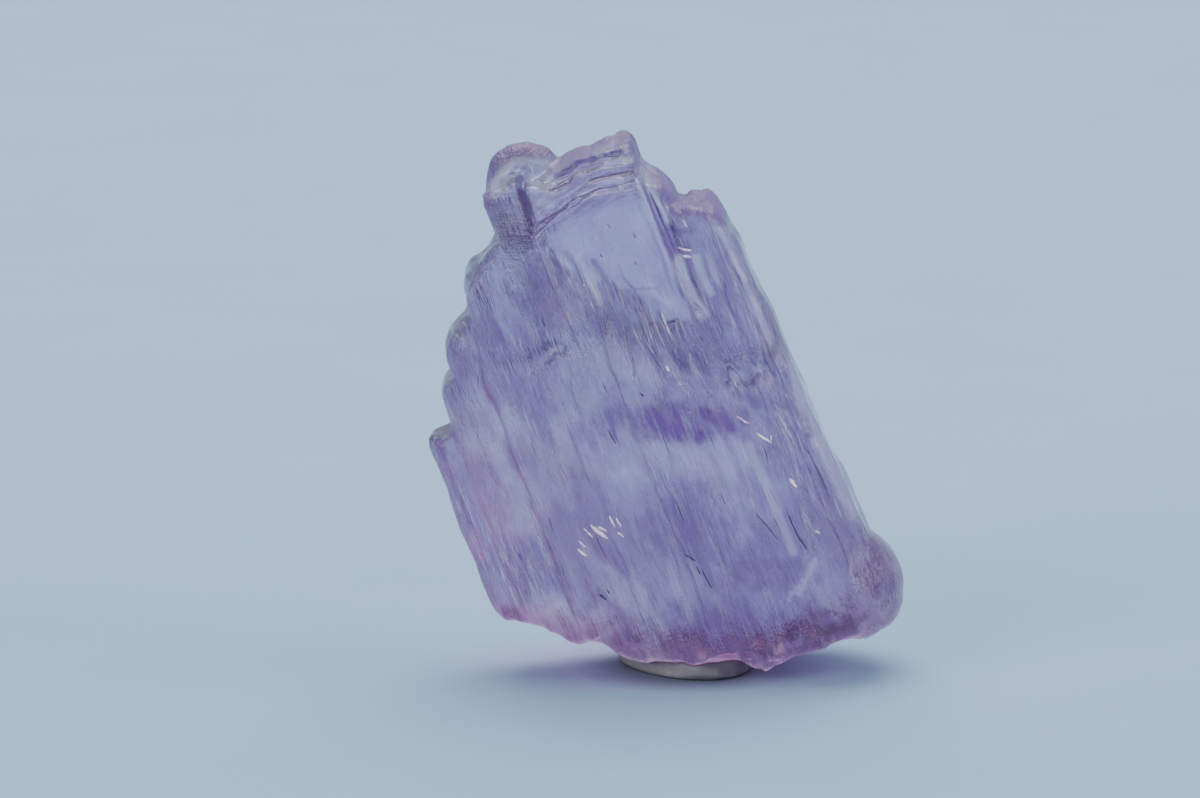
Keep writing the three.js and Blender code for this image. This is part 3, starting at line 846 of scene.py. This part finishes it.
def veil_material():
    """Feathery streaks of white and violet, see-through in between, absent behind the clear face."""
    nodes = Nodes(bpy.data.materials.new("veil"))
    hairs = nodes.noise(nodes.crystal_place((0.17, 1.0, 2.4)), 3.0, 0.7)
    colour = nodes.mix(nodes.spread(hairs, 0.38, 0.62), (0.40, 0.22, 0.58, 1), (0.95, 0.92, 1.0, 1))
    thread = nodes.times(nodes.spread(hairs, 0.45, 0.7, 0.2, 1.0), "shown")
    nodes.surface(Base_Color=colour, Roughness=0.42, Alpha=nodes.times(thread, VEIL_STRENGTH))
    return nodes.owner


def putty_material():
    """Grey putty with faint clouds and a fine grain."""
    nodes = Nodes(bpy.data.materials.new("putty"))
    place = nodes.place()
    clouds = nodes.noise(place, 4.0, 0.6, 900.0)
    grain = nodes.noise(place, 3.0, 0.6, 9000.0)
    colour = nodes.mix(nodes.spread(clouds, 0.3, 0.7), (0.30, 0.27, 0.28, 1), (0.42, 0.38, 0.38, 1))
    height = nodes.plus(clouds, nodes.times(grain, 0.25))
    bump = nodes.add("Bump", Height=height, Strength=0.5, Distance=0.00012)
    rough = nodes.spread(grain, 0.3, 0.7, 0.5, 0.72)
    nodes.surface(Base_Color=colour, Roughness=rough, Normal=bump.outputs[0])
    return nodes.owner


def sliver_material(name, colour, roughness, glow):
    """A grainy colour with a painted glow of the given strength, standing in for slivers that catch the
    light.
    """
    nodes = Nodes(bpy.data.materials.new(name))
    grain = nodes.noise(nodes.crystal_place((0.2, 0.2, 0.5)), 3.0, 0.6)
    dim = tuple(0.75 * c for c in colour[:3]) + (1,)
    nodes.surface(
        Base_Color=nodes.mix(grain, dim, colour),
        Roughness=nodes.spread(grain, 0.3, 0.7, roughness, roughness + 0.2),
        Emission_Color=colour,
        Emission_Strength=glow,
    )
    return nodes.owner


def sheet_material():
    """A slightly uneven sheet with the darker places under the crystal."""
    nodes = Nodes(bpy.data.materials.new("backdrop_sheet"))
    place = nodes.place()
    clouds = nodes.noise(place, 3.0, 0.5, 60.0)
    grain = nodes.noise(place, 3.0, 0.6, 2500.0)
    darker = tuple(0.965 * c for c in SHEET_COLOUR) + (1,)
    base = nodes.mix(nodes.spread(clouds, 0.3, 0.7), darker, SHEET_COLOUR + (1,))
    for middle, reach, colour, fade in SHEET_SHADES:
        shade_place = nodes.mapping(place, middle, reach)
        apart = nodes.add("VectorMath", {"operation": "LENGTH"}, Vector=shade_place)
        share = nodes.spread(apart.outputs["Value"], fade, 1.0, 1.0, 0.0)
        base = nodes.mix(share, base, colour + (1,))
    bump = nodes.add("Bump", Height=grain, Strength=0.25, Distance=0.0001)
    nodes.surface(Base_Color=base, Roughness=0.85, Normal=bump.outputs[0])
    return nodes.owner


def make_crystal():
    """The crystal's skin and veil. Returns a function that finds the front face."""
    along = np.concatenate([np.arange(*GRID_W_LOWER), np.arange(*GRID_W_UPPER)])
    grid = spread_axes(np.arange(*GRID_U), np.arange(*GRID_V), along)
    field = crystal_field(*grid)
    vertices, quads = largest_part(*surface_net(field, grid))
    attributes = skin_attributes(field, grid, *vertices.T)
    piece = mesh_object("crystal_skin", to_scene(vertices), quads, kunzite_material(), attributes)
    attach(piece, "root")
    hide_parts("kunzite_crystal")
    make_veil(field, grid)
    u, v, w = (axis.reshape(-1) for axis in grid)
    front = v[(field < 0).argmax(axis=1)]

    def front_of(place_u, place_w):
        """Where the front face lies at a place across it."""
        return front[np.abs(u - place_u).argmin(), np.abs(w - place_w).argmin()]

    return front_of


def skin_attributes(field, grid, u, v, w):
    """What the kunzite's shader reads at places on the skin."""
    top = ease(w - np.interp(u, *TOP_STEPS), -1, 0)
    facing = np.maximum(1 - ease(v, -0.5, 1.5), top)
    # Painted shade: the skin is darkened violet along its outline, most on the top, where there is also
    # stain.
    rim = 1 - ease(outline_distance(field, grid, u, w), 0.1, RIM_WIDTH)
    rim = rim * (RIM_SHADE + (TOP_STAIN_AND_SHADE - RIM_SHADE) * top)
    rim = rim * (1 - ease(u, 5.5, 6.5) * ease(w, -12, -10.5) * (1 - ease(w, 9.5, 10.5)))
    window = window_mask(u, w)
    etched = etched_mask(u, w)
    pale = facing * stain_mask(PALE_ZONES, PALE_STROKES, u, w, 57)
    violet = facing * stain_mask(VIOLET_ZONES, VIOLET_STROKES, u, w, 53)
    patchy = ease(layered_noise(91, u / 2.2, w / 6.5), -0.3, 0.45)
    smooth = ease(w + 0.6 * noise(52, u, w / 2), *SMOOTH_W)
    frost = (1 - 0.92 * window) * (0.72 + 0.28 * noise(51, u / 1.5, w / 2.5))
    wander = 0.1 * noise(59, u / 0.8, w / 2)
    return {
        "frost": np.clip(frost * (1 - 0.6 * pale), 0, 1),
        # The violet share holds the violet stains and the painted shade along the outline.
        "violet": np.maximum(violet, rim),
        "smoke": facing * stain_mask(SMOKE_ZONES, SMOKE_STROKES, u, w, 55),
        "pale": np.maximum(pale, WINDOW_CLEAR * facing * window),
        "window": facing * window,
        "clouded": ease(layered_noise(81, u / 1.6, w / 2.4), -0.5, 0.5),
        "patchy": patchy,
        "level": (line_level(u, w) + wander) / LINE_PITCH,
        "etched": facing * etched,
        "streaked": (0.2 + 0.8 * smooth) * (0.25 + 0.75 * patchy) * (1 - 0.8 * etched),
        # The lens share is the pale places, where the skin glows with painted light.
        "lens": pale,
        # The top outline is rougher, less clear and tinted with stain and painted shade.
        "matt_top_rim_stain_and_shade": top * rim,
    }


def outline_distance(field, grid, u, w):
    """How far places lie in from the crystal's outline, as seen along v."""
    grid_u, grid_w = grid[0].reshape(-1), grid[2].reshape(-1)
    step = grid_u[1] - grid_u[0]
    fine_w = np.arange(grid_w.min(), grid_w.max(), step)
    nearest = np.abs(grid_w[:, None] - fine_w).argmin(axis=0)
    left = (field < 0).any(axis=1)[:, nearest]
    distance = np.zeros(left.shape)
    while left.any() and distance.max() < RIM_STEPS:
        distance += left
        for axis in (0, 1):
            left = left & np.roll(left, 1, axis) & np.roll(left, -1, axis)
    column = np.clip(((u - grid_u.min()) / step).round().astype(int), 0, left.shape[0] - 1)
    row = np.clip(((w - grid_w.min()) / step).round().astype(int), 0, left.shape[1] - 1)
    return distance[column, row] * step


def make_veil(field, grid):
    """A wavy sheet inside the crystal that follows its front face."""
    u, v, w = grid
    inside = field[::VEIL_EVERY, :, ::VEIL_EVERY] < 0
    u, v, w = u[::VEIL_EVERY, 0, :], v[0, :, 0], w[0, :, ::VEIL_EVERY]
    nearest = v[inside.argmax(axis=1)]
    furthest = v[::-1][inside[:, ::-1].argmax(axis=1)]
    thick = inside.any(axis=1) & (furthest - nearest > LEAST_THICKNESS)
    wave = VEIL_WAVE * noise(71, u / 2.2, w / 4) + 0.3 * VEIL_WAVE * noise(72, u / 0.7, w / 2)
    v = nearest + np.minimum(VEIL_DEPTH + wave, (furthest - nearest) / 2)
    number = np.arange(thick.size).reshape(thick.shape)
    whole = thick[:-1, :-1] & thick[1:, :-1] & thick[1:, 1:] & thick[:-1, 1:]
    flat = np.abs(np.diff(v, axis=0))[:, :-1] + np.abs(np.diff(v, axis=1))[:-1] < 0.7
    ring = [number[:-1, :-1], number[1:, :-1], number[1:, 1:], number[:-1, 1:]]
    quads = np.stack([corner[whole & flat] for corner in ring], axis=1)
    used, quads = np.unique(quads, return_inverse=True)
    vertices = np.column_stack([place.reshape(-1)[used] for place in np.broadcast_arrays(u, v, w)])
    u, w = vertices[:, 0], vertices[:, 2]
    broken = ease(layered_noise(73, u / 0.5, w / 4.5), -0.7, 0.7)
    broken = broken * ease(layered_noise(77, u, w / 1.3), -0.8, 0.5)
    shown = {"shown": broken * (1 - window_mask(u, w)) * (1 - ease(w, 11.5, 14))}
    piece = mesh_object("middle_veil", to_scene(vertices), quads.reshape(-1, 4), veil_material(), shown)
    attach(piece, "root")


def largest_part(vertices, quads):
    """The quads that hang together with the most others, and their vertices."""
    label = np.arange(len(vertices))
    while True:
        lowest = label[quads].min(axis=1)
        new = label.copy()
        for corner in range(4):
            np.minimum.at(new, quads[:, corner], lowest)
        new = new[new]
        if np.array_equal(new, label):
            break
        label = new
    names, sizes = np.unique(label, return_counts=True)
    kept = label == names[sizes.argmax()]
    number = np.cumsum(kept) - 1
    return vertices[kept], number[quads[kept[quads].all(axis=1)]]


def make_putty():
    """A dab pressed up round the crystal's foot, with a lumpy rim."""
    reach = PUTTY_RADIUS * PUTTY_STRETCH + 0.6
    turn = math.radians(PUTTY_TURN_DEG)
    across_axes = [np.arange(centre - reach, centre + reach, PUTTY_STEP) for centre in PUTTY_CENTRE]
    x, y, z = spread_axes(*across_axes, np.arange(-0.4, PUTTY_HEIGHT + 0.4, PUTTY_STEP * 0.7))
    east, north = x - PUTTY_CENTRE[0], y - PUTTY_CENTRE[1]
    short = east * math.cos(turn) + north * math.sin(turn)
    long = north * math.cos(turn) - east * math.sin(turn)
    across = np.hypot(short, long / PUTTY_STRETCH)
    lumps = 0.16 * noise(61, x / 1.6, y / 1.6, z / 1.2) + 0.07 * noise(62, x / 0.6, y / 0.6, z / 0.6)
    rim = across - PUTTY_RADIUS + 0.14
    dab = rounded(rim, z - PUTTY_HEIGHT + 0.1, 0.9) + lumps * ease(z, 0.05, 0.5)
    dab = rounded(dab, -z, 0.3)
    places = np.stack(np.broadcast_arrays(x, y, z), axis=-1)
    imprint = crystal_field(*to_crystal(places))
    vertices, quads = largest_part(*surface_net(np.maximum(dab, SEAT_GAP - imprint), (x, y, z)))
    piece = mesh_object("putty_dab", vertices * MM, quads, putty_material())
    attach(piece, "root")
    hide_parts("mounting_putty")


def sliver(start, end, width, index, front_of, under):
    """A thin lens between two places, bowed a little and turned about its length."""
    start, end = np.array(start), np.array(end)
    along = end - start
    side = np.array([-along[1], along[0]]) / np.hypot(*along)
    bow = SLIVER_BOW * np.hypot(*along) * (2 * scatter(index, 0.4) - 1)
    turn = math.radians(10 + 35 * scatter(index, 0.7))
    vertices = []
    for step in range(SLIVER_STEPS):
        share = step / (SLIVER_STEPS - 1)
        swell = math.sin(math.pi * share) ** 0.7 + 0.05
        middle = start + share * along + bow * math.sin(math.pi * share) * side
        depth = front_of(middle[0], middle[1]) + under
        for angle in (0, 90, 180, 270):
            across = math.cos(math.radians(angle)) * width / 2 * swell
            through = math.sin(math.radians(angle)) * SLIVER_HALF_DEPTH * swell
            offset = across * math.cos(turn) - through * math.sin(turn)
            deeper = across * math.sin(turn) + through * math.cos(turn)
            vertices.append((middle[0] + offset * side[0], depth + deeper, middle[1] + offset * side[1]))
    faces = [(0, 1, 2, 3), tuple(4 * SLIVER_STEPS - 1 - corner for corner in range(4))]
    for step in range(SLIVER_STEPS - 1):
        for corner in range(4):
            a, b = 4 * step + corner, 4 * step + (corner + 1) % 4
            faces.append((a, a + 4, b + 4, b))
    return vertices, faces


def threads(count, least, greatest, seed):
    """Scattered hairs along the columns of the lower body: start and end (u, w), width."""
    shapes = []
    for index in range(count):
        u = THREADS_LEFT + THREADS_ACROSS * scatter(index, seed)
        length = least + (greatest - least) * scatter(index * 3, seed + 0.2) ** 2
        top = min(window_floor(u) - 0.8, 11.5, 9.5 + (u + 9) * 1.2)
        start = THREADS_FOOT + (top - THREADS_FOOT) * scatter(index * 7, seed + 0.5)
        drift = 0.1 * length * (2 * scatter(index * 5, seed + 0.7) - 1)
        width = THREAD_WIDTH * (0.6 + 0.9 * scatter(index * 11, seed))
        shapes.append(((u, start), (u + drift, start - length), width))
    return shapes


def icicles():
    """Pale spikes that hang from the clear face: start and end (u, w), width."""
    shapes = []
    for index in range(ICICLE_COUNT):
        u = ICICLES_LEFT + ICICLES_ACROSS * index / ICICLE_COUNT + 0.3 * scatter(index, 0.1)
        start = window_floor(u) + 0.9 * scatter(index, 0.6)
        length = 1.2 + 2.6 * scatter(index * 3, 0.3)
        shapes.append(((u, start), (u, start - length), 0.07 + 0.13 * scatter(index, 0.8)))
    return shapes


def make_slivers(name, shapes, material, front_of, under):
    """One piece of many slivers, which lie under the front face by the same depth."""
    vertices, faces = [], []
    for index, shape in enumerate(shapes):
        new_vertices, new_faces = sliver(*shape, index, front_of, under)
        faces += [tuple(corner + len(vertices) for corner in face) for face in new_faces]
        vertices += new_vertices
    piece = mesh_object(name, to_scene(vertices), np.array(faces), material)
    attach(piece, "root")


def make_sheet():
    """The pale sheet under and behind the crystal."""
    half = SHEET_SIZE / 2
    corners = np.array([(-half, -half, 0), (half, -half, 0), (half, half, 0), (-half, half, 0)])
    faces = np.array([(0, 1, 2, 3)])
    sheet = mesh_object("backdrop_sheet", corners, faces, sheet_material(), smooth=False)


def looking(place, target):
    """The turn that points a camera or a lamp from one place at another."""
    return (Vector(target) - Vector(place)).to_track_quat("-Z", "Y").to_matrix().to_4x4()


def make_lights():
    """A sky that is dimmer on the camera's side, and softboxes."""
    world = bpy.data.worlds.new("studio")
    bpy.context.scene.world = world
    nodes = Nodes(world)
    place = nodes.add("TexCoord").outputs["Generated"]
    behind = nodes.add("SeparateXYZ", Vector=place).outputs["Y"]
    strength = nodes.spread(behind, -0.6, 0.6, WORLD_FRONT * WORLD_STRENGTH, WORLD_STRENGTH)
    nodes.surface(Color=WORLD_COLOUR + (1,), Strength=strength)
    for name, place, target, size, watts in SOFTBOXES:
        light = bpy.data.lights.new(name, "AREA")
        light.shape = "SQUARE"
        light.size = size
        light.energy = watts
        light.color = LIGHT_COLOUR
        lamp = new_object(name, light)
        lamp.matrix_world = Matrix.Translation(place) @ looking(place, target)


def make_camera():
    """The camera of the photograph."""
    elevation = math.radians(VIEW_ELEVATION_DEG)
    target = Vector(CRYSTAL_ORIGIN) + Vector((VIEW_SHIFT[0], 0, VIEW_SHIFT[1]))
    place = target + VIEW_DISTANCE * Vector((0, -math.cos(elevation), math.sin(elevation)))
    data = bpy.data.cameras.new("camera")
    data.sensor_width = SENSOR_WIDTH
    data.lens = SENSOR_WIDTH * VIEW_DISTANCE / VIEW_WIDTH
    data.clip_start = 0.01
    camera = new_object("camera", data)
    camera.matrix_world = Matrix.Translation(place * MM) @ looking(place, target)
    bpy.context.scene.camera = camera


make_camera()
make_lights()
make_sheet()
front_of = make_crystal()
make_putty()
# Painted light: the sparkle slivers glow brightly, the pale and violet threads faintly, and the shadow
# slivers not at all.
white = sliver_material("sparkle", (1.0, 1.0, 1.0, 1), 0.1, 1.0)
thread = sliver_material("pale_thread", (0.78, 0.84, 1.0, 1), 0.3, 0.26)
dark = sliver_material("shadow", (0.16, 0.11, 0.24, 1), 0.4, 0.0)
violet = sliver_material("violet_thread", (0.36, 0.24, 0.56, 1), 0.4, 0.06)
for name, shapes, material, under in (
    ("inner_sparkles", SPARKLES, white, SPARKLE_DEPTH),
    ("inner_shadows", SHADOWS, dark, INNER_DEPTH),
    ("icicles", icicles(), thread, ICICLE_DEPTH),
    ("pale_threads", threads(*PALE_THREADS, 0.15), thread, THREAD_DEPTH),
    ("hairs", HAIRS, thread, SPARKLE_DEPTH),
    ("dark_threads", threads(*DARK_THREADS, 0.55), violet, THREAD_DEPTH),
):
    make_slivers(name, shapes, material, front_of, under)
